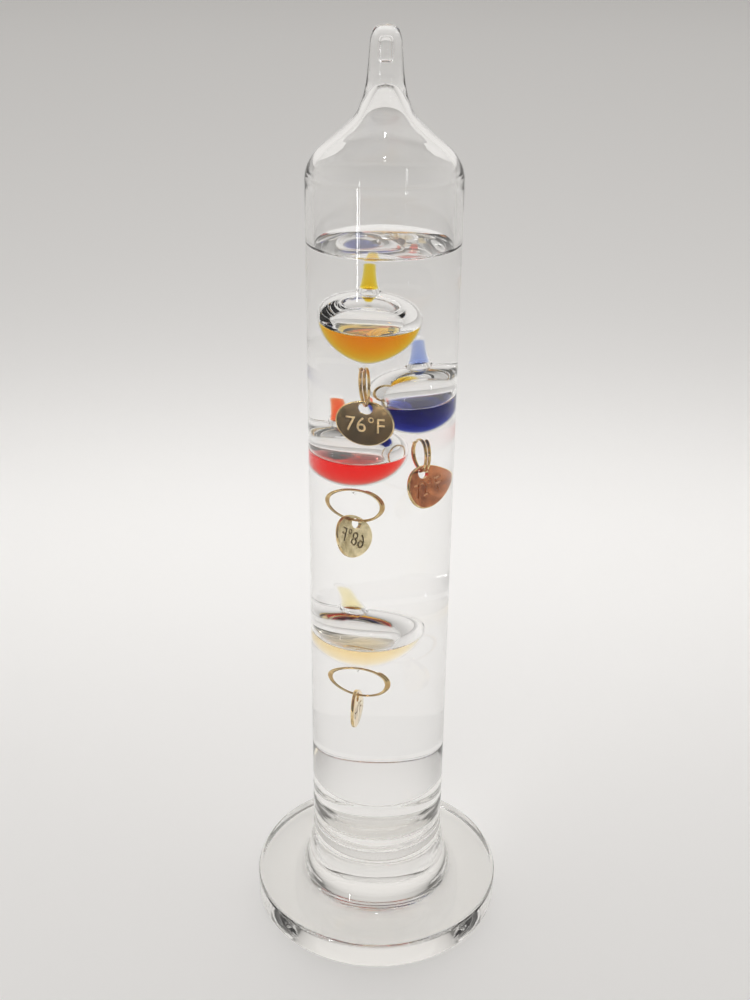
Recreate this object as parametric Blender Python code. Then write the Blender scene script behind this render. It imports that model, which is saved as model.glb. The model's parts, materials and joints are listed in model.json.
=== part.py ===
"""A Galileo thermometer: a sealed glass tube of clear liquid on a heavy round foot.

Four glass floats hang in the liquid at different heights.  Each float is a blown bulb with a filled
and sealed stem on top, a pool of dyed liquid inside, and a glass loop underneath that carries a
wire split ring and a brass tag.  The frame has its origin at the centre of the foot's underside,
+Z up the tube's axis and -Y towards the front.  All sizes are metres; MM turns millimetres into them.
"""

import math
from dataclasses import dataclass

import bmesh
import bpy
from mathutils import Matrix, Vector

MM = 0.001

# Fit between pieces that touch or are fused on the real object.
GAP = 0.3 * MM
RUNNING_GAP = 0.15 * MM

# Foot: a disc with a ribbed stem that closes the tube's lower end.
FOOT_RADIUS = 40.5 * MM
FOOT_THICKNESS = 9.4 * MM
FOOT_EDGE = 1.4 * MM
STEM_RIB_START_Z = 25.0 * MM
STEM_RIB_PITCH = 5.5 * MM
STEM_RIB_DEPTH = 0.25 * MM
STEM_SHOULDER_Z = 41.2 * MM
PLUG_TOP_Z = 48.0 * MM
PLUG_DOME = 0.8 * MM

# Tube, neck and sealed tip.
TUBE_RADIUS = 21.4 * MM
TUBE_WALL = 2.2 * MM
TUBE_BORE = TUBE_RADIUS - TUBE_WALL
NECK_TOP_Z = 270.2 * MM
BUBBLE_TOP_Z = 277.0 * MM
BUBBLE_RADIUS = 1.9 * MM
BUBBLE_ROUND = 1.2 * MM
LIQUID_LEVEL_Z = 223.3 * MM
LIQUID_FLOOR = 2.0 * MM
LIQUID_FILM = 0.3 * MM

# Turned outlines drawn by hand in the glass, as (radius, height) points in millimetres, going up.
FOOT_BEAD = ((27.8, 9.9), (25.4, 11.2), (23.8, 13.4), (22.9, 16.4), (22.4, 19.6), (21.9, 22.6))
NECK_OUTSIDE = ((21.4, 240.0), (21.1, 243.3), (19.9, 246.2), (17.3, 249.4), (12.3, 253.4), (8.2, 257.4),
                (6.2, 261.4), (5.15, 265.6), (4.6, 270.2))
NECK_INSIDE = ((19.2, 242.4), (18.4, 245.3), (16.1, 248.1), (11.2, 252.0), (6.9, 256.1), (4.4, 260.2),
               (2.9, 263.2), (1.7, 264.9), (0.0, 265.6))
TIP_OUTSIDE = ((4.55, 270.5), (4.3, 274.2), (3.95, 277.0), (3.1, 279.0), (1.7, 279.8), (0.0, 280.0))

# One float's glass, the same on all four apart from what Float holds.
BULB_TOP = 8.4 * MM
BULB_WALL = 0.6 * MM
BULB_BOTTOM_WALL = 1.2 * MM
POOL_BLANK_TOP = 5.0 * MM
SLUG_FOOT = 8.2 * MM
STEM_ROOT = 4.0 * MM
STEM_TOP = 16.0 * MM
STEM_RADIUS = 1.3 * MM
STEM_BORE = 0.85 * MM
STEM_FLARE = 1.3 * MM
STEM_FLARE_HEIGHT = 3.2 * MM
STEM_BLEND = 3.0
SEAL_HEIGHT = 0.9 * MM
LOOP_WIRE = 0.45 * MM
LOOP_DROP = 0.75

# Split ring and tag.
RING_WIRE = 0.35 * MM
RING_PITCH = 0.82 * MM
TAG_RADIUS = 6.8 * MM
TAG_THICKNESS = 0.7 * MM
TAG_HOLE = 1.7 * MM
TAG_HOLE_OFFSET = 4.4 * MM
TAG_PLAY = 0.4 * MM

# Facets round each turned piece.
TUBE_SEGMENTS = 36
BULB_SEGMENTS = 20
SMALL_SEGMENTS = 12
RING_POINTS_PER_TURN = 16
TAG_SEGMENTS = 32


@dataclass
class Float:
    """One float and what hangs from it.  Angles are degrees; yaws turn about +Z."""

    name: str
    mark: str
    centre: tuple
    lean: float
    radius: float
    depth: float
    taper: float
    stem_bend: float
    dye_level: float
    dye_colour: tuple
    loop_radius: float
    ring_radius: float
    ring_yaw: float
    ring_turns: float
    tag_seat: float
    tag_yaw: float
    tag_tilt: float
    tag_roll: float


FLOATS = (
    Float(name="amber", mark="76", centre=(-3.2, -5.8, 205.0), lean=1.2,
          radius=11.6, depth=12.3, taper=1.35, stem_bend=0.0, dye_level=-2.5, dye_colour=(0.95, 0.48, 0.03),
          loop_radius=1.2, ring_radius=5.4, ring_yaw=94.0, ring_turns=1.4,
          tag_seat=0.0, tag_yaw=-20.0, tag_tilt=0.0, tag_roll=0.0),
    Float(name="blue", mark="72", centre=(7.0, 2.2, 182.0), lean=-2.0,
          radius=10.5, depth=12.0, taper=1.1, stem_bend=0.0, dye_level=-2.8, dye_colour=(0.03, 0.06, 0.5),
          loop_radius=1.7, ring_radius=4.9, ring_yaw=-64.0, ring_turns=1.45,
          tag_seat=-5.0, tag_yaw=69.0, tag_tilt=-12.0, tag_roll=0.0),
    Float(name="red", mark="68", centre=(-6.0, 4.4, 163.8), lean=-7.0,
          radius=10.9, depth=10.8, taper=1.0, stem_bend=0.0, dye_level=-2.0, dye_colour=(0.9, 0.04, 0.03),
          loop_radius=1.4, ring_radius=5.0, ring_yaw=-20.0, ring_turns=1.4,
          tag_seat=0.0, tag_yaw=54.0, tag_tilt=-8.0, tag_roll=-32.0),
    Float(name="straw", mark="64", centre=(-3.7, 6.2, 102.0), lean=-3.0,
          radius=11.2, depth=11.5, taper=1.1, stem_bend=-1.8, dye_level=-3.2, dye_colour=(0.85, 0.66, 0.3),
          loop_radius=1.2, ring_radius=5.0, ring_yaw=-22.0, ring_turns=1.3,
          tag_seat=-10.0, tag_yaw=77.0, tag_tilt=0.0, tag_roll=0.0),
)

GLASS = ("glass", (0.92, 0.95, 0.95), 0.03, 0.0)
LIQUID = ("clear_liquid", (0.95, 0.97, 0.97), 0.0, 0.0)
BRASS = ("brass", (0.83, 0.62, 0.27), 0.28, 1.0)


def clear_scene():
    for obj in list(bpy.data.objects):
        bpy.data.objects.remove(obj)


def material(name, colour, roughness, metallic):
    """A Principled material, made once for each name."""
    found = bpy.data.materials.get(name)
    if found:
        return found
    made = bpy.data.materials.new(name)
    made.use_nodes = True
    shader = made.node_tree.nodes["Principled BSDF"]
    shader.inputs["Base Color"].default_value = (*colour, 1.0)
    shader.inputs["Roughness"].default_value = roughness
    shader.inputs["Metallic"].default_value = metallic
    return made


def add_object(name, data, look, parent=None):
    obj = bpy.data.objects.new(name, data)
    bpy.context.scene.collection.objects.link(obj)
    data.materials.append(material(*look))
    obj.parent = parent
    return obj


def add_empty(name, location, rotation, parent=None):
    empty = bpy.data.objects.new(name, None)
    bpy.context.scene.collection.objects.link(empty)
    empty.location = location
    empty.rotation_euler = rotation
    empty.parent = parent
    return empty


def in_metres(points):
    return [(r * MM, z * MM) for r, z in points]


def arc(centre, radius, start, end, steps):
    """(radius, height) points on an arc; the angles are degrees from the outward radial direction."""
    angles = (math.radians(start + (end - start) * i / steps) for i in range(steps + 1))
    return [(centre[0] + radius * math.cos(a), centre[1] + radius * math.sin(a)) for a in angles]


def turned(outline, segments):
    """A closed body turned about +Z.  The outline's two ends lie on the axis."""
    bm = bmesh.new()
    verts = [bm.verts.new((r, 0, z)) for r, z in outline]
    edges = [bm.edges.new(pair) for pair in zip(verts, verts[1:])]
    bmesh.ops.spin(bm, geom=verts + edges, cent=(0, 0, 0), axis=(0, 0, 1),
                   angle=math.tau, steps=segments, use_merge=True)
    bmesh.ops.remove_doubles(bm, verts=bm.verts, dist=1e-6)
    bmesh.ops.recalc_face_normals(bm, faces=bm.faces)
    return bm


def finished(bm, name):
    mesh = bpy.data.meshes.new(name)
    bm.to_mesh(mesh)
    bm.free()
    mesh.shade_smooth()
    mesh.set_sharp_from_angle(angle=math.radians(35))
    return mesh


def add_turned(name, outline, segments, look, parent=None):
    return add_object(name, finished(turned(outline, segments), name), look, parent)


def stem_ribs():
    """The foot's stem from the bead at its base up to the shoulder, with a groove between ribs."""
    outline = in_metres(FOOT_BEAD)
    height = STEM_SHOULDER_Z - STEM_RIB_START_Z
    steps = 12
    for i in range(steps + 1):
        rise = height * i / steps
        z = STEM_RIB_START_Z + rise
        groove = 0.5 + 0.5 * math.cos(math.tau * rise / STEM_RIB_PITCH)
        outline.append((TUBE_RADIUS - STEM_RIB_DEPTH * groove, z))
    return outline


def build_foot():
    """The foot: rounded disc, ribbed stem, and the plug that closes the tube's bore."""
    plug = TUBE_BORE - GAP
    outline = [(0, 0)]
    outline += arc((FOOT_RADIUS - FOOT_EDGE, FOOT_EDGE), FOOT_EDGE, -90, 0, 3)
    outline += arc((FOOT_RADIUS - FOOT_EDGE, FOOT_THICKNESS - FOOT_EDGE), FOOT_EDGE, 0, 90, 3)
    outline += stem_ribs()
    outline += [(plug, STEM_SHOULDER_Z), (plug, PLUG_TOP_Z - PLUG_DOME)]
    outline += [(plug / 2, PLUG_TOP_Z), (0, PLUG_TOP_Z)]
    return add_turned("base_foot", outline, TUBE_SEGMENTS, GLASS)


def build_tube():
    """The tube, its shoulder and its drawn neck, open at the bottom where the foot closes it."""
    bottom = STEM_SHOULDER_Z + GAP
    outline = [(0, NECK_TOP_Z), *in_metres(reversed(NECK_OUTSIDE))]
    outline += [(TUBE_RADIUS, bottom), (TUBE_BORE, bottom)]
    outline += in_metres(NECK_INSIDE)
    return add_turned("glass_tube", outline, TUBE_SEGMENTS, GLASS)


def build_tip():
    """The melted tip that seals the neck, with the bubble that it traps as a pocket underneath."""
    foot = NECK_TOP_Z + GAP
    outline = in_metres(reversed(TIP_OUTSIDE))
    outline += [(BUBBLE_RADIUS, foot)]
    outline += arc((BUBBLE_RADIUS - BUBBLE_ROUND, BUBBLE_TOP_Z - BUBBLE_ROUND), BUBBLE_ROUND, 0, 90, 2)
    outline += [(0, BUBBLE_TOP_Z)]
    return add_turned("sealed_tip", outline, SMALL_SEGMENTS, GLASS)


def build_liquid():
    """The clear liquid where no float moves: its floor and its film along the bore, open on top."""
    outside = TUBE_BORE - GAP
    inside = outside - LIQUID_FILM
    floor = PLUG_TOP_Z + GAP
    outline = [(0, floor), (outside, floor), (outside, LIQUID_LEVEL_Z), (inside, LIQUID_LEVEL_Z),
               (inside, floor + LIQUID_FLOOR), (0, floor + LIQUID_FLOOR)]
    return add_turned("clear_liquid", outline, TUBE_SEGMENTS, LIQUID)


def bulb_outline(flt, inset=0.0, bottom_inset=0.0, bore=STEM_RADIUS, top=STEM_TOP):
    """A float's outline from the bottom of its bulb to the top of its stem, inset for its inside."""
    radius = flt.radius * MM - inset
    depth = flt.depth * MM - bottom_inset
    height = BULB_TOP - inset
    lower, upper = 6, (18, 36, 52, 66, 78)
    outline = [(0, -depth)]
    for i in range(1, lower):
        a = math.radians(90 * (1 - i / lower))
        outline.append((radius * math.cos(a) ** flt.taper, -depth * math.sin(a)))
    outline.append((radius, 0))
    heights = [height * math.sin(math.radians(a)) for a in upper]
    heights += [height + share * (top - height) for share in (0.12, 0.4, 0.7, 1.0)]
    for z in heights:
        dome = radius * math.sqrt(max(0.0, 1 - (z / height) ** 2))
        stem = bore + STEM_FLARE * math.exp(-max(0.0, z - height) / STEM_FLARE_HEIGHT)
        outline.append(((dome ** STEM_BLEND + stem ** STEM_BLEND) ** (1 / STEM_BLEND), z))
    return outline


def bend_stem(bm, flt):
    """Leans the stem sideways the way a hand-drawn one does, by nothing at its root and most at its top."""
    for vert in bm.verts:
        rise = max(0.0, vert.co.z - STEM_ROOT) / (STEM_TOP - STEM_ROOT)
        vert.co.x += flt.stem_bend * MM * rise * rise
    return bm


def loop_centre(flt):
    """The middle of the glass loop, below the bulb, in the float's own frame."""
    return Vector((0, 0, -(flt.depth + LOOP_DROP * flt.loop_radius) * MM))


def build_bulb(flt, hanger):
    """The blown bulb with its open stem and the loop underneath, all one piece of glass."""
    inner = bulb_outline(flt, BULB_WALL, BULB_BOTTOM_WALL, STEM_BORE)
    outline = bulb_outline(flt) + inner[::-1]
    name = f"{flt.name}_float_bulb"
    bulb = add_object(name, finished(bend_stem(turned(outline, BULB_SEGMENTS), flt), name), GLASS, hanger)

    bpy.ops.mesh.primitive_torus_add(major_radius=flt.loop_radius * MM, minor_radius=LOOP_WIRE,
                                     major_segments=14, minor_segments=8)
    loop = bpy.context.active_object
    loop.name = f"{flt.name}_loop_helper"
    loop.parent = hanger
    loop.location = loop_centre(flt)
    loop.rotation_euler = (math.radians(90), 0, math.radians(flt.ring_yaw + 90))
    loop.hide_render = True
    loop.display_type = "WIRE"
    union = bulb.modifiers.new("loop", "BOOLEAN")
    union.operation = "UNION"
    union.object = loop
    return bulb


def build_seal(flt, hanger):
    """The melted bead that closes the top of the stem."""
    foot = STEM_TOP + GAP
    outline = [(0, foot), (STEM_RADIUS, foot)]
    for a in (math.tau / 12, math.tau / 6):
        outline.append((STEM_RADIUS * math.cos(a), foot + SEAL_HEIGHT * math.sin(a)))
    outline += [(0, foot + SEAL_HEIGHT)]
    name = f"{flt.name}_stem_seal"
    return add_object(name, finished(bend_stem(turned(outline, SMALL_SEGMENTS), flt), name), GLASS, hanger)


def build_dye(flt, hanger):
    """The pool of dyed liquid: the inside of the bulb, cut off level with the world."""
    inner = bulb_outline(flt, BULB_WALL + GAP, BULB_BOTTOM_WALL + GAP)
    pool = [point for point in inner if point[1] <= POOL_BLANK_TOP]
    bm = turned(pool + [(0, pool[-1][1])], BULB_SEGMENTS)
    up = hanger.rotation_euler.to_matrix().inverted() @ Vector((0, 0, 1))
    cut = bmesh.ops.bisect_plane(bm, geom=bm.verts[:] + bm.edges[:] + bm.faces[:], dist=1e-7,
                                 plane_co=up * flt.dye_level * MM, plane_no=up, clear_outer=True)
    rim = [item for item in cut["geom_cut"] if isinstance(item, bmesh.types.BMEdge)]
    bmesh.ops.contextual_create(bm, geom=rim)
    bmesh.ops.recalc_face_normals(bm, faces=bm.faces)
    look = (f"{flt.name}_dye", flt.dye_colour, 0.05, 0.0)
    return add_object(f"{flt.name}_dye_pool", finished(bm, f"{flt.name}_dye_pool"), look, hanger)


def build_stem_dye(flt, hanger):
    """The slug of dyed liquid that capillarity keeps in the stem."""
    bore = STEM_BORE - GAP
    inner = bulb_outline(flt, BULB_WALL + GAP, BULB_BOTTOM_WALL, bore, STEM_TOP - GAP)
    slug = [point for point in inner if point[1] >= SLUG_FOOT]
    outline = [(0, slug[0][1]), *slug, (0, slug[-1][1])]
    name = f"{flt.name}_stem_dye"
    look = (f"{flt.name}_dye", flt.dye_colour, 0.05, 0.0)
    return add_object(name, finished(bend_stem(turned(outline, SMALL_SEGMENTS), flt), name), look, hanger)


def ring_pivot(flt, hanger):
    """The centre of the glass where the ring hangs: the lowest point of the loop's own centreline."""
    low = loop_centre(flt) - Vector((0, 0, flt.loop_radius * MM))
    return Vector(hanger.location) + hanger.rotation_euler.to_matrix() @ low


def build_ring(flt, hanger):
    """A wire split ring, wound as a close coil, hanging in the loop with its origin on the glass."""
    name = f"{flt.name}_split_ring"
    curve = bpy.data.curves.new(name, "CURVE")
    curve.dimensions = "3D"
    curve.bevel_depth = RING_WIRE
    curve.bevel_resolution = 1
    curve.use_fill_caps = True
    count = round(flt.ring_turns * RING_POINTS_PER_TURN)
    spline = curve.splines.new("POLY")
    spline.points.add(count)
    overlap = (flt.ring_turns - math.floor(flt.ring_turns)) * math.pi
    radius = flt.ring_radius * MM
    drop = radius - LOOP_WIRE - RING_WIRE - RUNNING_GAP
    for i, point in enumerate(spline.points):
        angle = -overlap + math.tau * flt.ring_turns * i / count
        along = RING_PITCH * flt.ring_turns * (i / count - 0.5)
        point.co = (radius * math.cos(angle), along, radius * math.sin(angle) - drop, 1)
    ring = add_object(name, curve, BRASS)
    ring.location = ring_pivot(flt, hanger)
    ring.rotation_euler = (0, 0, math.radians(flt.ring_yaw))
    return ring


def circle_spline(curve, radius, centre, segments):
    spline = curve.splines.new("POLY")
    spline.points.add(segments - 1)
    spline.use_cyclic_u = True
    for i, point in enumerate(spline.points):
        a = math.tau * i / segments
        point.co = (centre[0] + radius * math.cos(a), centre[1] + radius * math.sin(a), 0, 1)


def build_tag(flt, ring):
    """A round brass tag with its hole on the ring's lowest point, and its origin on the ring's wire."""
    name = f"{flt.name}_tag_{flt.mark}"
    curve = bpy.data.curves.new(name, "CURVE")
    curve.dimensions = "2D"
    curve.fill_mode = "BOTH"
    curve.extrude = TAG_THICKNESS / 2
    hole = -(TAG_HOLE - RING_WIRE - TAG_PLAY)
    circle_spline(curve, TAG_HOLE, (0, hole), SMALL_SEGMENTS + 4)
    circle_spline(curve, TAG_RADIUS, (0, hole - TAG_HOLE_OFFSET), TAG_SEGMENTS)
    tag = add_object(name, curve, BRASS)
    radius = flt.ring_radius * MM
    seat = math.radians(flt.tag_seat - 90)
    drop = radius - LOOP_WIRE - RING_WIRE - RUNNING_GAP
    on_ring = Vector((radius * math.cos(seat), 0, radius * math.sin(seat) - drop))
    tag.location = ring.location + Matrix.Rotation(math.radians(flt.ring_yaw), 3, "Z") @ on_ring
    turn = Matrix.Rotation(math.radians(flt.tag_yaw), 3, "Z")
    lean = Matrix.Rotation(math.radians(90 + flt.tag_tilt), 3, "X")
    tag.rotation_euler = (turn @ lean @ Matrix.Rotation(math.radians(flt.tag_roll), 3, "Z")).to_euler()
    return tag


def build_float(flt):
    """One float and its ring and tag, at rest where it hangs in the liquid."""
    hanger = add_empty(f"{flt.name}_float_frame", [c * MM for c in flt.centre],
                       (0, math.radians(flt.lean), 0))
    build_bulb(flt, hanger)
    build_seal(flt, hanger)
    build_dye(flt, hanger)
    build_stem_dye(flt, hanger)
    ring = build_ring(flt, hanger)
    build_tag(flt, ring)


def main():
    clear_scene()
    build_foot()
    build_tube()
    build_tip()
    build_liquid()
    for flt in FLOATS:
        build_float(flt)


main()
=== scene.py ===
"""The looks of the Galileo thermometer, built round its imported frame.

Glass, liquid and dye are drawn as nested closed bodies.  Each surface carries the ratio of the two
indices that meet there: glass against air, glass against liquid, liquid against air.  Where two pieces
are fused or wetted by the same thing, their faces are matched, with a ratio of 1, and don't show.
Lengths are metres; MM turns millimetres into them.
"""

import json
import math
from dataclasses import dataclass

import bmesh
import bpy
from mathutils import Matrix, Vector


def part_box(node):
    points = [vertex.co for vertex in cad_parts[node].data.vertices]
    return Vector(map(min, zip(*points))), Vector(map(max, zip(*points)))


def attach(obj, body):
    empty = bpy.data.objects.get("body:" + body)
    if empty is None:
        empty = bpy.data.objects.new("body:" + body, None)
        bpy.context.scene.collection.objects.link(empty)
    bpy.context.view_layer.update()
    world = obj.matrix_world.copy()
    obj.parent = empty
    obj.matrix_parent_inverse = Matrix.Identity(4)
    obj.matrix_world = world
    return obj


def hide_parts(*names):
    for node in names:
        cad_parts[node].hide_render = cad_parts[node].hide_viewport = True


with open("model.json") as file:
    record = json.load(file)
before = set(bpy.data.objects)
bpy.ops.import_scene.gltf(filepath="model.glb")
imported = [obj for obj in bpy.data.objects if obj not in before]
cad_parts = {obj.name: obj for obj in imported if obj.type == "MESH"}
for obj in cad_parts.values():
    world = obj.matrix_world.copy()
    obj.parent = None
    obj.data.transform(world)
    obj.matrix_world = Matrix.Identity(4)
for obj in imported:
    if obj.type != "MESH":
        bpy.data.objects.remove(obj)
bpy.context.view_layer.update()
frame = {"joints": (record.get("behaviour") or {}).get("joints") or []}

MM = 0.001

# Ratios of refractive indices.
GLASS_AIR = 1.5
GLASS_LIQUID = 1.035
LIQUID_AIR = 1.45
DYE_AIR = 1.38
MATCHED = 1.0

# Fit between bodies that touch: too thin to see.
SEAM = 0.01 * MM
# Lengths closer than this are the same.
TINY = 1e-9

# The turned glass, as in the frame.
FOOT_RADIUS = 40.5 * MM
FOOT_THICKNESS = 9.4 * MM
FOOT_EDGE = 1.4 * MM
RIB_START = 25.0 * MM
RIB_PITCH = 5.5 * MM
RIB_DEPTH = 0.22 * MM
TUBE_RADIUS = 21.4 * MM
TUBE_BORE = 19.2 * MM
STEM_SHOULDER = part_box("glass_tube")[0].z
NECK_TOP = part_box("glass_tube")[1].z
TIP_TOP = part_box("sealed_tip")[1].z
LIQUID_FLOOR = 48.0 * MM
FLOOR_FILLET = 0.6 * MM
LIQUID_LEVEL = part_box("clear_liquid")[1].z
MENISCUS = 1.4 * MM
MENISCUS_REACH = 1.3 * MM
MENISCUS_SPAN = 5.0 * MENISCUS_REACH

# Outlines drawn in the glass, as (radius, height) points in millimetres, going up.
NECK_OUTSIDE = ((21.4, 225.0), (21.4, 240.0), (21.1, 243.3), (19.9, 246.2), (17.3, 249.4), (12.3, 253.4),
                (8.2, 257.4), (6.2, 261.4), (5.15, 265.6), (4.6, 270.2), (4.3, 274.2), (3.95, 277.0),
                (3.1, 279.0), (1.7, 279.8), (0.0, 280.0))
NECK_INSIDE = ((19.2, 239.0), (19.2, 242.4), (18.4, 245.3), (16.1, 248.1), (11.2, 252.0), (6.9, 256.1),
               (4.4, 260.2), (2.9, 263.2), (1.7, 264.9), (0.0, 265.6))
BUBBLE = ((0.0, 270.7), (0.9, 270.8), (1.3, 271.3), (1.4, 272.3), (1.4, 274.9), (1.3, 276.1), (0.9, 276.8),
          (0.0, 276.95))
FOOT_BEAD = ((31.0, 9.42), (27.8, 9.9), (25.4, 11.2), (23.8, 13.4), (22.9, 16.4), (22.4, 19.6), (21.9, 22.6))

# One float's glass.
# The frame's bulbs have facets; the round ones drawn here lie inside them.
INSIDE_FACETS = 0.988
BULB_TOP = 8.4 * MM
BULB_WALL = 0.6 * MM
BOTTOM_WALL = 0.8 * MM
STEM_ROOT = 4.0 * MM
STEM_TOP = 16.3 * MM
STEM_RADIUS = 1.3 * MM
STEM_BORE = 1.1 * MM
STEM_FLARE = 1.3 * MM
STEM_FLARE_HEIGHT = 3.2 * MM
STEM_BLEND = 3.0
SEAL_HEIGHT = 0.9 * MM
SLUG_FOOT = 9.3 * MM
LOOP_WIRE = 0.45 * MM
LOOP_DROP = 0.75
DYE_MENISCUS = 0.8 * MM
DYE_MENISCUS_REACH = 0.6 * MM
DYE_MENISCUS_STEPS = (0.1, 0.25, 0.45, 0.7, 1.05, 1.5, 2.2, 3.2)

# Split ring and tag.
RING_WIRE = 0.35 * MM
RING_PITCH = 0.82 * MM
RUNNING_GAP = 0.15 * MM
TAG_RADIUS = 6.75 * MM
TAG_THICKNESS = 0.66 * MM
TAG_HOLE = 1.7 * MM
TAG_HOLE_OFFSET = 4.4 * MM
TAG_PLAY = 0.4 * MM
MARK_SIZE = 6.4 * MM
MARK_WIDTH = 0.78
MARK_DEPTH = 0.2 * MM
MARK_DROP = 0.7 * MM
TAG_EDGE = 0.25 * MM
PUNCH_EDGE = 0.1 * MM

TUBE_SEGMENTS = 160
BULB_SEGMENTS = 96
STEM_SEGMENTS = 48
TAG_SEGMENTS = 96
RING_POINTS_PER_TURN = 56

FLOOR_WIDTH = 24.0
FLOOR_DROP = 0.4 * MM

# The camera, just above the tip and looking down at the foot; angles are degrees.
CAMERA_PLACE = (-0.00173, -0.33875, 0.30634)
CAMERA_PITCH = 25.27
CAMERA_ROLL = 0.548
CAMERA_LENS = 45.1


@dataclass
class Float:
    """One float.  Sizes are millimetres, angles are degrees, and a dye is what a depth of it lets through."""

    name: str
    mark: str
    lean: float
    radius: float
    depth: float
    taper: float
    stem_bend: float
    dye_level: float
    dye: tuple
    stem_dye: tuple
    loop_radius: float
    ring_radius: float
    ring_turns: float
    tag_yaw: float
    tag_tilt: float
    tag_roll: float
    tag_reversed: bool = False


FLOATS = (
    Float(name="amber", mark="76", lean=1.2, radius=11.6, depth=12.3, taper=1.35, stem_bend=0.0,
          dye_level=-2.5, dye=(1.0, 0.34, 0.001), stem_dye=(0.97, 0.74, 0.08),
          loop_radius=1.2, ring_radius=5.4, ring_turns=1.4, tag_yaw=-20.0, tag_tilt=0.0, tag_roll=0.0),
    Float(name="blue", mark="72", lean=-2.0, radius=10.5, depth=12.0, taper=1.1, stem_bend=0.0,
          dye_level=-2.8, dye=(0.0001, 0.0004, 0.10), stem_dye=(0.48, 0.57, 0.88),
          loop_radius=1.7, ring_radius=4.9, ring_turns=1.45, tag_yaw=69.0, tag_tilt=-12.0, tag_roll=0.0),
    Float(name="red", mark="68", lean=-7.0, radius=10.9, depth=10.8, taper=1.0, stem_bend=0.0,
          dye_level=-2.0, dye=(0.98, 0.010, 0.006), stem_dye=(0.98, 0.2, 0.076),
          loop_radius=1.4, ring_radius=5.0, ring_turns=1.4, tag_yaw=54.0, tag_tilt=-8.0, tag_roll=-32.0,
          tag_reversed=True),
    Float(name="straw", mark="64", lean=-3.0, radius=11.2, depth=11.5, taper=1.1, stem_bend=-1.8,
          dye_level=-3.0, dye=(1.0, 0.78, 0.42), stem_dye=(0.98, 0.91, 0.66),
          loop_radius=1.2, ring_radius=5.0, ring_turns=1.3, tag_yaw=77.0, tag_tilt=0.0, tag_roll=0.0),
)
POOL_DEPTH = 16.0 * MM
STEM_DEPTH = 2.2 * MM

# Each tag's brass, darker and brighter in tarnish clouds, and the metal inside its stamped numerals.
# The levels are painted light, set per tag. Painted shade makes the amber tag near black, painted highlight
# makes the straw tag pale gold, and the blue and red tags are painted between. The numerals are painted
# lighter than the plate, as painted highlight, on the amber and blue tags. They are painted darker, as
# painted shade in the stamp, on the red and straw tags.
TAG_BRASS_AND_PAINTED_LIGHT = {
    "amber": ((0.04, 0.027, 0.012), (0.13, 0.085, 0.04), (0.72, 0.54, 0.30)),
    "blue": ((0.28, 0.07, 0.02), (0.74, 0.26, 0.09), (0.95, 0.50, 0.25)),
    "red": ((0.42, 0.33, 0.14), (0.90, 0.77, 0.47), (0.36, 0.27, 0.12)),
    "straw": ((0.86, 0.56, 0.22), (1.0, 0.84, 0.48), (0.5, 0.32, 0.14)),
}


# ---------------------------------------------------------------- materials

def shader_nodes(name):
    made = bpy.data.materials.new(name)
    made.use_nodes = True
    nodes = made.node_tree.nodes
    return made, nodes, made.node_tree.links.new, nodes["Principled BSDF"]


def noise(nodes, links, scale, detail=3.0, stretch=(1, 1, 1)):
    """A noise texture in the object's own space, and its Fac socket."""
    place = nodes.new("ShaderNodeTexCoord")
    shape = nodes.new("ShaderNodeMapping")
    shape.inputs["Scale"].default_value = stretch
    texture = nodes.new("ShaderNodeTexNoise")
    texture.inputs["Scale"].default_value = scale
    texture.inputs["Detail"].default_value = detail
    links(place.outputs["Object"], shape.inputs["Vector"])
    links(shape.outputs["Vector"], texture.inputs["Vector"])
    return texture.outputs["Fac"]


def ramp(nodes, links, value, low, high, start=0.35, end=0.65):
    """A colour ramp between two colours over part of a value's range."""
    made = nodes.new("ShaderNodeValToRGB")
    made.color_ramp.elements[0].position = start
    made.color_ramp.elements[1].position = end
    made.color_ramp.elements[0].color = (*low, 1)
    made.color_ramp.elements[1].color = (*high, 1)
    links(value, made.inputs["Fac"])
    return made.outputs["Color"]


def bump(nodes, links, height, strength, distance):
    made = nodes.new("ShaderNodeBump")
    made.inputs["Strength"].default_value = strength
    made.inputs["Distance"].default_value = distance
    links(height, made.inputs["Height"])
    return made.outputs["Normal"]


def clear_material(name, ratio, tint=(1.0, 1.0, 1.0), waviness=0.0, smudge=0.0, stretch=(1, 1, 1)):
    """Drawn glass or a liquid surface: faint waves, and smudges that dull it slightly."""
    made, nodes, links, shader = shader_nodes(name)
    shader.inputs["Transmission Weight"].default_value = 1.0
    shader.inputs["IOR"].default_value = ratio
    shader.inputs["Roughness"].default_value = 0.0
    pale = tuple(0.996 * c for c in tint)
    cloud = noise(nodes, links, 30.0, 2.0)
    links(ramp(nodes, links, cloud, pale, tint), shader.inputs["Base Color"])
    if smudge:
        dull = ramp(nodes, links, noise(nodes, links, 55.0, 5.0), (0, 0, 0), (smudge,) * 3, 0.5, 0.75)
        links(dull, shader.inputs["Roughness"])
    if waviness:
        waves = noise(nodes, links, 90.0, 1.0, stretch)
        links(bump(nodes, links, waves, waviness, 0.2 * MM), shader.inputs["Normal"])
    return made


def dye_material(name, through, depth):
    """Dyed liquid that lets this share of light through that depth of it."""
    made, nodes, links, shader = shader_nodes(name)
    shader.inputs["Transmission Weight"].default_value = 1.0
    shader.inputs["IOR"].default_value = MATCHED
    shader.inputs["Roughness"].default_value = 0.0
    cloud = noise(nodes, links, 60.0, 2.0)
    links(ramp(nodes, links, cloud, (0.99,) * 3, (1, 1, 1)), shader.inputs["Base Color"])
    taken = [-math.log(share) / depth for share in through]
    volume = nodes.new("ShaderNodeVolumeAbsorption")
    volume.inputs["Density"].default_value = max(taken)
    volume.inputs["Color"].default_value = (*(1 - part / max(taken) for part in taken), 1)
    links(volume.outputs["Volume"], nodes["Material Output"].inputs["Volume"])
    return made


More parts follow.
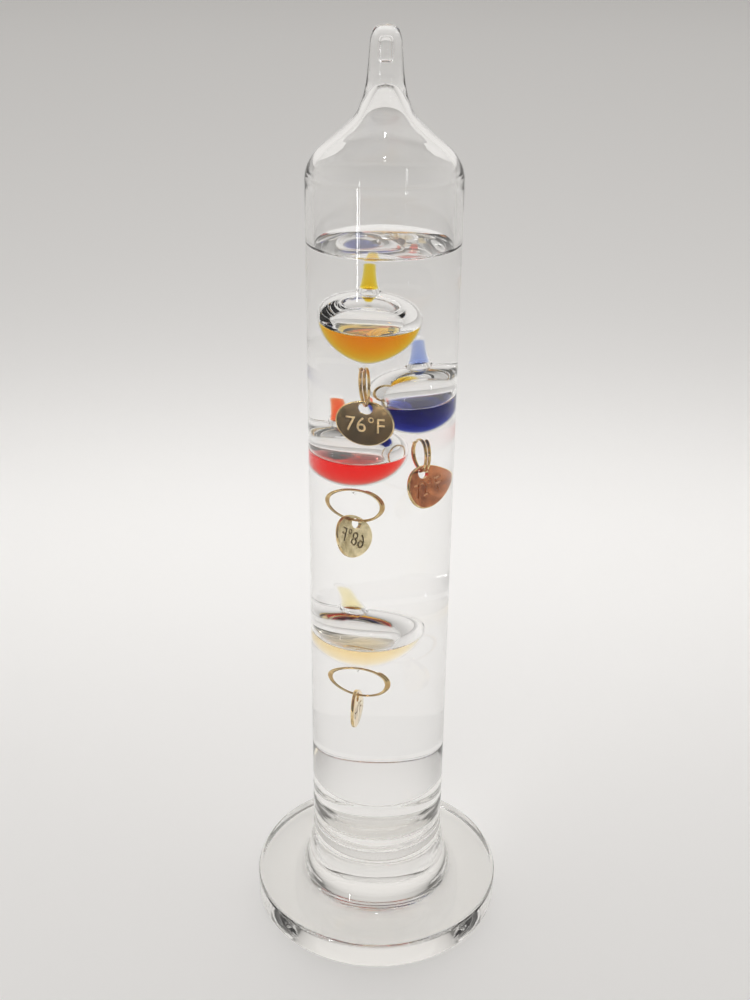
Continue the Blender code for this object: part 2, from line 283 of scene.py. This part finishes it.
def metal_material(name, dark, bright, roughness, dents):
    """Rolled brass: tarnish in clouds, fine scratches, and a few soft dents."""
    made, nodes, links, shader = shader_nodes(name)
    shader.inputs["Metallic"].default_value = 1.0
    tarnish = noise(nodes, links, 260.0, 6.0)
    links(ramp(nodes, links, tarnish, dark, bright, 0.3, 0.62), shader.inputs["Base Color"])
    scratches = noise(nodes, links, 900.0, 4.0, (1, 6, 1))
    low = (roughness * 0.7,) * 3
    high = (roughness * 1.5,) * 3
    links(ramp(nodes, links, scratches, low, high), shader.inputs["Roughness"])
    soft = noise(nodes, links, 190.0, 2.0)
    links(bump(nodes, links, soft, dents, 0.3 * MM), shader.inputs["Normal"])
    return made


OUTSIDE = clear_material("glass_outside", GLASS_AIR, (1.0, 1.0, 0.995), 0.02, 0.0, (1, 1, 0.25))
FOOT_GLASS = clear_material("glass_foot", GLASS_AIR, (1.0, 0.994, 0.974), 0.015, 0.015)
BORE = clear_material("glass_bore", GLASS_AIR, waviness=0.02, stretch=(1, 1, 0.25))
WETTED = clear_material("glass_wetted", GLASS_LIQUID, waviness=0.03)
FUSED = clear_material("glass_fused", MATCHED)
SURFACE = clear_material("liquid_surface", LIQUID_AIR, waviness=0.02)
FLOAT_OUTSIDE = clear_material("float_outside", GLASS_LIQUID, waviness=0.05)
FLOAT_POCKET = clear_material("float_pocket", GLASS_AIR, waviness=0.05)
DYE_SURFACE = clear_material("dye_surface", DYE_AIR)


# ---------------------------------------------------------------- shapes

def in_metres(points):
    return [(r * MM, z * MM) for r, z in points]


def smooth_outline(points, steps):
    """A Catmull-Rom curve through (radius, height) points, with this many steps between each two."""
    padded = [points[0], *points, points[-1]]
    curve = []
    for a, b, c, d in zip(padded, padded[1:], padded[2:], padded[3:]):
        for i in range(steps):
            t = i / steps
            curve.append(tuple(
                0.5 * (2 * q + (r - p) * t + (2 * p - 5 * q + 4 * r - s) * t * t
                       + (3 * q - p - 3 * r + s) * t ** 3)
                for p, q, r, s in zip(a, b, c, d)
            ))
    return [*curve, points[-1]]


def arc(centre, radius, start, end, steps):
    """(radius, height) points on an arc; the angles are degrees from the outward radial direction."""
    angles = (math.radians(start + (end - start) * i / steps) for i in range(steps + 1))
    return [(centre[0] + radius * math.cos(a), centre[1] + radius * math.sin(a)) for a in angles]


def turn(bm, outline, segments, index=lambda low, high: 0, flip=False):
    """Adds a body turned about +Z.  The outline runs from the axis at the bottom to the axis at the top."""
    rings = []
    for radius, height in outline:
        if radius < TINY:
            rings.append([bm.verts.new((0, 0, height))])
            continue
        angles = (math.tau * i / segments for i in range(segments))
        rings.append([bm.verts.new((radius * math.cos(a), radius * math.sin(a), height)) for a in angles])
    for k, (low, high) in enumerate(zip(rings, rings[1:])):
        for i in range(segments):
            j = (i + 1) % segments
            corners = [low[i % len(low)], low[j % len(low)], high[j % len(high)], high[i % len(high)]]
            corners = list(dict.fromkeys(corners))
            face = bm.faces.new(corners[::-1] if flip else corners)
            face.material_index = index(outline[k], outline[k + 1])
            face.smooth = True
    return bm


def add_mesh(name, bm, materials, sharp=40):
    """A mesh object in the frame's own space, smooth but for edges sharper than this many degrees."""
    mesh = bpy.data.meshes.new(name)
    bm.to_mesh(mesh)
    bm.free()
    mesh.shade_smooth()
    mesh.set_sharp_from_angle(angle=math.radians(sharp))
    obj = bpy.data.objects.new(name, mesh)
    bpy.context.scene.collection.objects.link(obj)
    for made in materials:
        mesh.materials.append(made)
    return obj


def stands_for(obj, body, node, slot):
    obj.visible_shadow = slot.endswith("_brass")
    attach(obj, body)
    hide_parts(node)
    return obj


def weld(mesh):
    """Joins the verts of a mesh that lie on each other."""
    bm = bmesh.new()
    bm.from_mesh(mesh)
    bmesh.ops.remove_doubles(bm, verts=bm.verts, dist=0.001 * MM)
    bmesh.ops.dissolve_degenerate(bm, edges=bm.edges, dist=0.001 * MM)
    bm.to_mesh(mesh)
    bm.free()


def evaluated_mesh(obj):
    """A mesh of its own of the object as its modifiers or its curve make it."""
    bpy.context.view_layer.update()
    return bpy.data.meshes.new_from_object(obj.evaluated_get(bpy.context.evaluated_depsgraph_get()))


def boolean(obj, other, operation):
    """Applies a Boolean and removes the other body."""
    made = obj.modifiers.new(operation.lower(), "BOOLEAN")
    made.operation = operation
    made.solver = "EXACT"
    made.object = other
    mesh = evaluated_mesh(obj)
    weld(mesh)
    obj.modifiers.clear()
    obj.data = mesh
    bpy.data.objects.remove(other)
    return obj


# ---------------------------------------------------------------- tube, foot, tip and liquid

def stem_outline():
    """The foot's stem from the bead at its base up to the shoulder, with a groove between ribs."""
    outline = smooth_outline(in_metres(FOOT_BEAD), 5)
    height = STEM_SHOULDER - SEAM - RIB_START
    steps = 60
    for i in range(steps + 1):
        rise = height * i / steps
        groove = 0.5 + 0.5 * math.cos(math.tau * rise / RIB_PITCH)
        outline.append((TUBE_RADIUS - RIB_DEPTH * groove, RIB_START + rise))
    return outline


def floor_outline(inset=0.0):
    """The top of the plug, from the bore's wall down its fillet to the axis."""
    centre = (TUBE_BORE - inset - FLOOR_FILLET, LIQUID_FLOOR + inset + FLOOR_FILLET)
    return [*arc(centre, FLOOR_FILLET, 0, -90, 10), (0, LIQUID_FLOOR + inset)]


def build_foot():
    outline = [(0, 0), (FOOT_RADIUS * 0.5, 0)]
    outline += arc((FOOT_RADIUS - FOOT_EDGE, FOOT_EDGE), FOOT_EDGE, -90, 0, 8)
    outline += arc((FOOT_RADIUS - FOOT_EDGE, FOOT_THICKNESS - FOOT_EDGE), FOOT_EDGE, 0, 90, 8)
    outline += stem_outline()
    top = outline[-1][1]
    outline += [(TUBE_BORE - SEAM, top)]
    outline += floor_outline(SEAM)
    plug_foot = LIQUID_FLOOR + FLOOR_FILLET + SEAM

    def index(low, high):
        if high[1] > plug_foot + TINY or min(low[1], high[1]) > LIQUID_FLOOR - TINY:
            return 2 if min(low[0], high[0]) >= TUBE_BORE - 2 * SEAM else 1
        return 2 if min(low[1], high[1]) > top - TINY else 0

    foot = add_mesh("base_foot_glass", turn(bmesh.new(), outline, TUBE_SEGMENTS, index),
                    (FOOT_GLASS, BORE, FUSED))
    return stands_for(foot, "root", "base_foot", "clear_glass")


def neck_outline():
    """The shoulder, neck and tip in one smooth sweep, up to the axis."""
    return smooth_outline(in_metres(NECK_OUTSIDE), 8)


def build_tube():
    """The tube, its shoulder and its drawn neck.  Its lower end and its top are fused to the foot and tip."""
    bottom = STEM_SHOULDER
    contact = LIQUID_LEVEL + MENISCUS
    outline = smooth_outline(in_metres(NECK_INSIDE), 8)[::-1]
    outline += [(TUBE_BORE, contact), (TUBE_BORE, LIQUID_FLOOR), (TUBE_BORE, bottom), (TUBE_RADIUS, bottom)]
    outline += [point for point in neck_outline() if point[1] < NECK_TOP + SEAM]
    outline += [(0, outline[-1][1])]

    def index(low, high):
        inside = max(low[0], high[0]) <= TUBE_BORE + TINY
        if abs(low[1] - high[1]) < TINY:
            return 3
        if inside and low[1] <= contact + TINY and low[0] > TUBE_BORE - TINY:
            return 2 if low[1] > LIQUID_FLOOR + TINY else 3
        return 1 if inside and low[1] > high[1] else 0

    tube = add_mesh("glass_tube_clear", turn(bmesh.new(), outline, TUBE_SEGMENTS, index),
                    (OUTSIDE, BORE, WETTED, FUSED))
    return stands_for(tube, "root", "glass_tube", "clear_glass")


def build_tip():
    """The melted tip, with the bubble that it traps."""
    side = [(r, z + SEAM) for r, z in neck_outline() if z > NECK_TOP - SEAM]
    outline = [(0, side[0][1]), *side]
    bm = turn(bmesh.new(), outline, STEM_SEGMENTS * 2, lambda low, high: int(abs(low[1] - high[1]) < TINY))
    for vert in bm.verts:
        vert.co.z = min(vert.co.z, TIP_TOP)
    turn(bm, smooth_outline(in_metres(BUBBLE), 5), STEM_SEGMENTS, lambda low, high: 2, True)
    tip = add_mesh("sealed_tip_glass", bm, (OUTSIDE, FUSED, BORE))
    return stands_for(tip, "root", "sealed_tip", "clear_glass")


def build_liquid():
    """The column of clear liquid, from an air film over the plug up to a surface that climbs the wall."""
    side = TUBE_BORE - SEAM
    outline = [(r, z + SEAM) for r, z in floor_outline(SEAM)][::-1]
    floor = len(outline)
    outline.append((side, LIQUID_LEVEL + MENISCUS))
    steps = 16
    for i in range(1, steps + 1):
        reach = MENISCUS_SPAN * (i / steps) ** 2
        outline.append((side - reach, LIQUID_LEVEL + MENISCUS * math.exp(-reach / MENISCUS_REACH)))
    outline += [(side * 0.3, LIQUID_LEVEL), (0, LIQUID_LEVEL)]
    top = len(outline)
    surface = {point: k for k, point in enumerate(outline)}

    def index(low, high):
        return int(not floor <= surface[high] <= top - steps - 3)

    liquid = add_mesh("clear_liquid_column", turn(bmesh.new(), outline, TUBE_SEGMENTS, index),
                      (FUSED, SURFACE), 60)
    return stands_for(liquid, "root", "clear_liquid", "clear_liquid")


# ---------------------------------------------------------------- floats

def bulb_outline(flt, inset=0.0, bottom_inset=0.0, bore=STEM_RADIUS, top=STEM_TOP - SEAM):
    """A float's outline from the bottom of its bulb to the top of its stem, inset for its inside."""
    radius = flt.radius * INSIDE_FACETS * MM - inset
    depth = flt.depth * MM - bottom_inset
    height = BULB_TOP - inset
    lower, upper, neck = 22, 22, 16
    outline = [(0, -depth)]
    for i in range(1, lower + 1):
        a = math.radians(90 * (1 - i / lower))
        outline.append((radius * math.cos(a) ** flt.taper, -depth * math.sin(a)))
    heights = [height * math.sin(math.radians(84 * i / upper)) for i in range(1, upper + 1)]
    start = heights[-1]
    heights += [start + (top - start) * i / neck for i in range(1, neck + 1)]
    for z in heights:
        dome = radius * math.sqrt(max(0.0, 1 - (z / height) ** 2))
        stem = bore + STEM_FLARE * math.exp(-max(0.0, z - height) / STEM_FLARE_HEIGHT)
        outline.append(((dome ** STEM_BLEND + stem ** STEM_BLEND) ** (1 / STEM_BLEND), z))
    return outline


def bend_stem(bm, flt):
    for vert in bm.verts:
        rise = max(0.0, vert.co.z - STEM_ROOT) / (STEM_TOP - STEM_ROOT)
        vert.co.x += flt.stem_bend * MM * rise * rise


def float_place(flt):
    """Where the float's own frame is: its loop hangs over the ring's pivot."""
    pivot = Vector(joint(f"{flt.name}_ring_swing")["pos_m"])
    lean = Matrix.Rotation(math.radians(flt.lean), 4, "Y")
    drop = (flt.depth + (LOOP_DROP + 1) * flt.loop_radius) * MM
    return Matrix.Translation(pivot) @ lean @ Matrix.Translation((0, 0, drop))


def joint(name):
    return next(j for j in frame["joints"] if j["name"] == name)


def ring_yaw(flt):
    axis = joint(f"{flt.name}_ring_swing")["axis"]
    return math.atan2(-axis[0], axis[1])


def rim_loop(edges):
    """The verts of a closed ring of edges, in order."""
    links = {}
    for edge in edges:
        for vert, other in (edge.verts, reversed(edge.verts)):
            links.setdefault(vert, []).append(other)
    first = edges[0].verts[0]
    loop = [first, links[first][0]]
    while len(loop) < len(edges):
        ahead, behind = links[loop[-1]]
        loop.append(behind if ahead is loop[-2] else ahead)
    return loop


def cut_level(bm, place, level, above, index, seam=0.0):
    """Keeps what lies above or below a level in the world, closed by a dye surface that climbs the glass."""
    up = (place.inverted().to_3x3() @ Vector((0, 0, 1))).normalized()
    cut = bmesh.ops.bisect_plane(bm, geom=bm.verts[:] + bm.edges[:] + bm.faces[:], dist=1e-8,
                                 plane_co=up * (level + DYE_MENISCUS - seam), plane_no=up,
                                 clear_outer=not above, clear_inner=above)
    rim = rim_loop([item for item in cut["geom_cut"] if isinstance(item, bmesh.types.BMEdge)])
    middle = sum((vert.co for vert in rim), Vector()) / len(rim)
    ring = rim
    for far in DYE_MENISCUS_STEPS:
        drop = up * (DYE_MENISCUS * (1 - math.exp(-far * MM / DYE_MENISCUS_REACH)))
        inner = [bm.verts.new(vert.co + (middle - vert.co).normalized() * far * MM - drop) for vert in rim]
        for i, vert in enumerate(ring):
            j = (i + 1) % len(ring)
            bm.faces.new((vert, ring[j], inner[j], inner[i])).material_index = index
        ring = inner
    bm.faces.new(ring).material_index = index
    bmesh.ops.recalc_face_normals(bm, faces=bm.faces)
    return bm


def build_bulb(flt, place):
    """The bulb, stem and loop in one piece of glass, with the air that it traps over the dye."""
    name = f"{flt.name}_float_glass"
    outline = [*bulb_outline(flt), (0, STEM_TOP - SEAM)]
    bm = turn(bmesh.new(), outline, BULB_SEGMENTS, lambda low, high: 2 * int(high[0] == 0))
    bend_stem(bm, flt)
    bulb = add_mesh(name, bm, (FLOAT_OUTSIDE, FLOAT_POCKET, FUSED, DYE_SURFACE))
    bpy.ops.mesh.primitive_torus_add(major_radius=flt.loop_radius * MM, minor_radius=LOOP_WIRE,
                                     major_segments=48, minor_segments=20)
    loop = bpy.context.active_object
    loop.data.materials.append(FLOAT_OUTSIDE)
    loop.location = (0, 0, -(flt.depth + LOOP_DROP * flt.loop_radius) * MM)
    loop.rotation_euler = (math.radians(90), 0, ring_yaw(flt) + math.radians(90))
    boolean(bulb, loop, "UNION")

    pocket = bmesh.new()
    inner = bulb_outline(flt, BULB_WALL, BOTTOM_WALL, STEM_BORE, SLUG_FOOT)
    turn(pocket, [*inner, (0, SLUG_FOOT + STEM_BORE * 0.7)], BULB_SEGMENTS,
         lambda low, high: 3 if high[0] == 0 else 1)
    bend_stem(pocket, flt)
    cut_level(pocket, place, flt.dye_level * MM, True, 3)
    bmesh.ops.reverse_faces(pocket, faces=pocket.faces)
    hollow = bpy.data.meshes.new("pocket")
    pocket.to_mesh(hollow)
    pocket.free()
    bm = bmesh.new()
    bm.from_mesh(bulb.data)
    bm.from_mesh(hollow)
    bm.to_mesh(bulb.data)
    bm.free()
    bulb.data.shade_smooth()
    bulb.data.set_sharp_from_angle(angle=math.radians(50))
    bulb.data.transform(place)
    return stands_for(bulb, f"{flt.name}_float", f"{flt.name}_float_bulb", "float_glass")


def build_seal(flt, place):
    outline = [(0, STEM_TOP), (STEM_RADIUS, STEM_TOP)]
    outline += [(STEM_RADIUS * math.cos(a), STEM_TOP + SEAL_HEIGHT * math.sin(a))
                for a in (math.radians(90 * i / 8) for i in range(1, 8))]
    outline.append((0, STEM_TOP + SEAL_HEIGHT))
    bm = turn(bmesh.new(), outline, STEM_SEGMENTS, lambda low, high: int(low[0] == 0))
    bend_stem(bm, flt)
    seal = add_mesh(f"{flt.name}_stem_bead", bm, (FLOAT_OUTSIDE, FUSED))
    seal.data.transform(place)
    return stands_for(seal, f"{flt.name}_float", f"{flt.name}_stem_seal", "float_glass")


def build_dye(flt, place):
    bm = turn(bmesh.new(), [*bulb_outline(flt, BULB_WALL, BOTTOM_WALL, STEM_BORE, SLUG_FOOT), (0, SLUG_FOOT)],
              BULB_SEGMENTS)
    cut_level(bm, place, flt.dye_level * MM, False, 0, 2 * SEAM)
    look = dye_material(f"{flt.name}_dye", flt.dye, POOL_DEPTH)
    dye = add_mesh(f"{flt.name}_dye_liquid", bm, (look,), 50)
    dye.data.transform(place)
    return stands_for(dye, f"{flt.name}_float", f"{flt.name}_dye_pool", f"{flt.name}_dye")


def build_stem_dye(flt, place):
    """The slug of dye that capillarity holds in the stem, hollow underneath."""
    hollow = STEM_BORE * 0.7
    inner = bulb_outline(flt, BULB_WALL, BOTTOM_WALL, STEM_BORE, STEM_TOP - 0.5 * MM)
    side = [point for point in inner if point[1] > SLUG_FOOT]
    first = bulb_outline(flt, BULB_WALL, BOTTOM_WALL, STEM_BORE, SLUG_FOOT)[-1]
    outline = [(0, SLUG_FOOT + hollow + 2 * SEAM), (first[0] - SEAM, SLUG_FOOT + 2 * SEAM), *side,
               (STEM_BORE * 0.5, STEM_TOP - 0.3 * MM), (0, STEM_TOP - 0.25 * MM)]
    bm = turn(bmesh.new(), outline, STEM_SEGMENTS)
    bend_stem(bm, flt)
    look = dye_material(f"{flt.name}_stem_dye_look", flt.stem_dye, STEM_DEPTH)
    dye = add_mesh(f"{flt.name}_stem_liquid", bm, (look,), 50)
    dye.data.transform(place)
    return stands_for(dye, f"{flt.name}_float", f"{flt.name}_stem_dye", f"{flt.name}_dye")


# ---------------------------------------------------------------- rings and tags

RING_METAL = metal_material("ring_metal", (0.50, 0.29, 0.09), (1.0, 0.80, 0.42), 0.07, 0.05)


def build_ring(flt):
    """A wire split ring wound as a close coil, with rounded ends."""
    curve = bpy.data.curves.new(f"{flt.name}_wire_ring", "CURVE")
    curve.dimensions = "3D"
    curve.bevel_depth = RING_WIRE
    curve.bevel_resolution = 5
    curve.use_fill_caps = True
    count = round(flt.ring_turns * RING_POINTS_PER_TURN)
    spline = curve.splines.new("POLY")
    spline.points.add(count)
    overlap = (flt.ring_turns - math.floor(flt.ring_turns)) * math.pi
    radius = flt.ring_radius * MM
    drop = radius - LOOP_WIRE - RING_WIRE - RUNNING_GAP
    for i, point in enumerate(spline.points):
        angle = -overlap + math.tau * flt.ring_turns * i / count
        along = RING_PITCH * flt.ring_turns * (i / count - 0.5)
        point.co = (radius * math.cos(angle), along, radius * math.sin(angle) - drop, 1)
        point.radius = 0.6 if i in (0, count) else 1.0
    curve.materials.append(RING_METAL)
    wire = bpy.data.objects.new("wire", curve)
    bpy.context.scene.collection.objects.link(wire)
    mesh = evaluated_mesh(wire)
    weld(mesh)
    bpy.data.objects.remove(wire)
    mesh.shade_smooth()
    ring = bpy.data.objects.new(f"{flt.name}_wire_ring", mesh)
    bpy.context.scene.collection.objects.link(ring)
    ring.location = joint(f"{flt.name}_ring_swing")["pos_m"]
    ring.rotation_euler = (0, 0, ring_yaw(flt))
    return stands_for(ring, f"{flt.name}_ring", f"{flt.name}_split_ring", "ring_brass")


def disc(radius, centre, thickness, edge, segments):
    """A closed disc with rounded edges.  Its faces have material 0 and its edges, worn bright, material 2."""
    half = thickness / 2
    outline = [(0, -half), *arc((radius - edge, edge - half), edge, -90, 0, 5),
               *arc((radius - edge, half - edge), edge, 0, 90, 5), (0, half)]
    rim = radius - 2 * edge
    bm = turn(bmesh.new(), outline, segments, lambda low, high: 2 * int(min(low[0], high[0]) > rim))
    bmesh.ops.translate(bm, verts=bm.verts, vec=centre)
    return bm


def mark_body(text):
    """Solid numerals that cut their mark into a tag's face."""
    curve = bpy.data.curves.new("mark", "FONT")
    curve.body = text
    curve.size = MARK_SIZE
    curve.align_x = "CENTER"
    curve.align_y = "CENTER"
    curve.extrude = MARK_DEPTH
    curve.resolution_u = 4
    obj = bpy.data.objects.new("mark", curve)
    bpy.context.scene.collection.objects.link(obj)
    mesh = evaluated_mesh(obj)
    weld(mesh)
    bpy.data.objects.remove(obj)
    mesh.transform(Matrix.Diagonal((MARK_WIDTH, 1, 1, 1)))
    for face in mesh.polygons:
        face.material_index = 1
    made = bpy.data.objects.new("mark", mesh)
    bpy.context.scene.collection.objects.link(made)
    return made


def build_tag(flt):
    """A round brass tag with a worn edge, a punched hole, and a temperature stamped in both faces.

    The stamp shows through, so the numerals on the back are mirrored.
    """
    # The plate and the numerals carry painted shade and painted highlight, set per tag for the light it
    # catches.
    dark, bright, stamped = TAG_BRASS_AND_PAINTED_LIGHT[flt.name]
    look = metal_material(f"{flt.name}_tag_metal", dark, bright, 0.15, 0.25)
    shadow = tuple(0.7 * c for c in stamped)
    mark_look = metal_material(f"{flt.name}_mark_metal", shadow, stamped, 0.3, 0.05)
    worn = metal_material(f"{flt.name}_worn_metal", (0.78, 0.52, 0.20), (1.0, 0.86, 0.52), 0.1, 0.05)
    hole = -(TAG_HOLE - RING_WIRE - TAG_PLAY)
    middle = hole - TAG_HOLE_OFFSET
    plate = disc(TAG_RADIUS, (0, middle, 0), TAG_THICKNESS, TAG_EDGE, TAG_SEGMENTS)
    tag = add_mesh(f"{flt.name}_tag_plate", plate, (look, mark_look, worn))
    punch = add_mesh("punch", disc(TAG_HOLE, (0, hole, 0), 3 * TAG_THICKNESS, PUNCH_EDGE, STEM_SEGMENTS),
                     (look, mark_look, worn))
    boolean(tag, punch, "DIFFERENCE")
    reading_side = Matrix.Rotation(math.pi if flt.tag_reversed else 0, 4, "Y")
    for face in (TAG_THICKNESS / 2, -TAG_THICKNESS / 2):
        mark = mark_body(f"{flt.mark}\N{DEGREE SIGN}F")
        mark.data.transform(Matrix.Translation((0, middle - MARK_DROP, face)) @ reading_side)
        boolean(tag, mark, "DIFFERENCE")
    turned = (Matrix.Rotation(math.radians(flt.tag_yaw), 4, "Z")
              @ Matrix.Rotation(math.radians(90 + flt.tag_tilt), 4, "X")
              @ Matrix.Rotation(math.radians(flt.tag_roll), 4, "Z"))
    tag.data.shade_smooth()
    tag.data.set_sharp_from_angle(angle=math.radians(35))
    tag.matrix_world = Matrix.Translation(joint(f"{flt.name}_tag_swing")["pos_m"]) @ turned
    return stands_for(tag, f"{flt.name}_tag", f"{flt.name}_tag_{flt.mark}", f"{flt.name}_tag_brass")


def build_float(flt):
    place = float_place(flt)
    build_bulb(flt, place)
    build_seal(flt, place)
    build_dye(flt, place)
    build_stem_dye(flt, place)
    build_ring(flt)
    build_tag(flt)


# ---------------------------------------------------------------- stage

def build_floor():
    """A pale floor, just below the foot so that the two don't touch."""
    mesh = bpy.data.meshes.new("floor")
    half = FLOOR_WIDTH / 2
    corners = [(-half, -half, 0), (half, -half, 0), (half, half, 0), (-half, half, 0)]
    mesh.from_pydata(corners, [], [(0, 1, 2, 3)])
    floor = bpy.data.objects.new("floor", mesh)
    bpy.context.scene.collection.objects.link(floor)
    floor.location.z = -FLOOR_DROP
    made, nodes, links, shader = shader_nodes("floor_paper")
    shader.inputs["Base Color"].default_value = (0.90, 0.892, 0.885, 1)
    shader.inputs["Roughness"].default_value = 0.7
    shader.inputs["Specular IOR Level"].default_value = 0.2
    mesh.materials.append(made)


def build_world():
    """A soft studio: even and pale overhead and behind, dark in front, which draws the glass's edges."""
    world = bpy.data.worlds.new("studio")
    bpy.context.scene.world = world
    world.use_nodes = True
    nodes, links = world.node_tree.nodes, world.node_tree.links.new
    place = nodes.new("ShaderNodeTexCoord")
    split = nodes.new("ShaderNodeSeparateXYZ")
    links(place.outputs["Generated"], split.inputs["Vector"])
    half = nodes.new("ShaderNodeMath")
    half.operation = "MULTIPLY_ADD"
    half.inputs[1].default_value = 0.5
    half.inputs[2].default_value = 0.5
    links(split.outputs["Y"], half.inputs[0])
    shade = nodes.new("ShaderNodeValToRGB")
    shade.color_ramp.interpolation = "EASE"
    shade.color_ramp.elements[0].position = 0.2
    shade.color_ramp.elements[0].color = (0.10, 0.097, 0.09, 1)
    shade.color_ramp.elements[1].position = 0.6
    shade.color_ramp.elements[1].color = (0.55, 0.535, 0.515, 1)
    shade.color_ramp.elements.new(0.95).color = (0.82, 0.80, 0.775, 1)
    links(half.outputs["Value"], shade.inputs["Fac"])
    links(shade.outputs["Color"], nodes["Background"].inputs["Color"])


def lamp(name, place, target, size, power, in_glass):
    """A rectangular lamp that the camera can't see, and that shows in the glass only where it says so."""
    light = bpy.data.lights.new(name, "AREA")
    light.shape = "RECTANGLE"
    light.size, light.size_y = size
    light.energy = power
    obj = bpy.data.objects.new(name, light)
    bpy.context.scene.collection.objects.link(obj)
    obj.location = place
    obj.rotation_mode = "QUATERNION"
    obj.rotation_quaternion = (Vector(target) - Vector(place)).to_track_quat("-Z", "Y")
    obj.visible_camera = False
    obj.visible_transmission = in_glass
    obj.visible_glossy = in_glass
    return obj


def build_lights():
    lamp("ceiling", (0.0, 2.0, 5.0), (0, 2.0, 0), (1.5, 1.5), 35.0, False)
    lamp("overhead", (0.0, 0.2, 1.6), (0, 0.2, 0), (0.4, 1.2), 3.6, False)
    lamp("back_bar", (0.0, 0.27, 0.30), (0, 0.27, 0), (0.8, 0.04), 0.55, False)
    lamp("star_lamp", (0.0, -0.06, 1.3), (0, 0, 0.2), (0.04, 0.04), 0.25, True)
    lamp("side_strip", (-0.35, -0.45, 0.2), (0, 0, 0.18), (0.012, 0.3), 0.25, True)


def build_camera():
    data = bpy.data.cameras.new("camera")
    data.lens = CAMERA_LENS
    data.sensor_width = 36.0
    data.clip_start, data.clip_end = 0.01, 60.0
    camera = bpy.data.objects.new("camera", data)
    bpy.context.scene.collection.objects.link(camera)
    camera.matrix_world = (Matrix.Translation(CAMERA_PLACE)
                           @ Matrix.Rotation(math.radians(90 - CAMERA_PITCH), 4, "X")
                           @ Matrix.Rotation(math.radians(CAMERA_ROLL), 4, "Z"))
    bpy.context.scene.camera = camera


def set_rendering():
    scene = bpy.context.scene
    scene.view_settings.view_transform = "Standard"
    scene.cycles.max_bounces = 40
    scene.cycles.transmission_bounces = 40
    scene.cycles.glossy_bounces = 12
    scene.cycles.transparent_max_bounces = 16
    scene.cycles.volume_bounces = 0


build_foot()
build_tube()
build_tip()
build_liquid()
for each in FLOATS:
    build_float(each)
build_floor()
build_world()
build_lights()
build_camera()
set_rendering()
